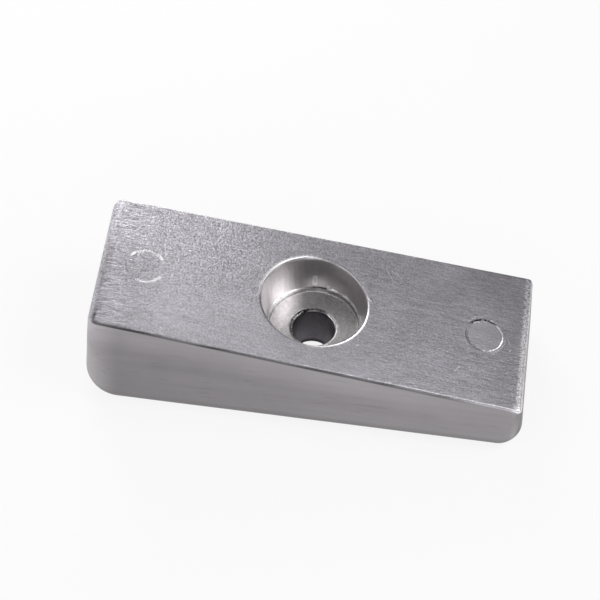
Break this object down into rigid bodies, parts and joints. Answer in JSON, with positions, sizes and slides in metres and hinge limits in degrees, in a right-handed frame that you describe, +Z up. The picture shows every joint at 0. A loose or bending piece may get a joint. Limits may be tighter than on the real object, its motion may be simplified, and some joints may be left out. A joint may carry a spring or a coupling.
{
  "type": "sacrificial anode",
  "caption": "Cast wedge-shaped sacrificial anode block with drafted walls, rounded feet and a deep counterbored bolt hole.",
  "frame": {"origin": "middle of the flat mounting base, on the base plane", "axes": "+X along the length from the thick end to the thin end, +Y across the width, +Z up from the mounting base along the bolt axis"},
  "size_m": [0.0694, 0.0272, 0.0193],
  "materials": {
    "anode_metal": "satin as-cast walls, belt-brushed grainy top"
  },
  "bodies": {
    "root": {"anode_block": "anode_metal"}
  },
  "joints": []
}
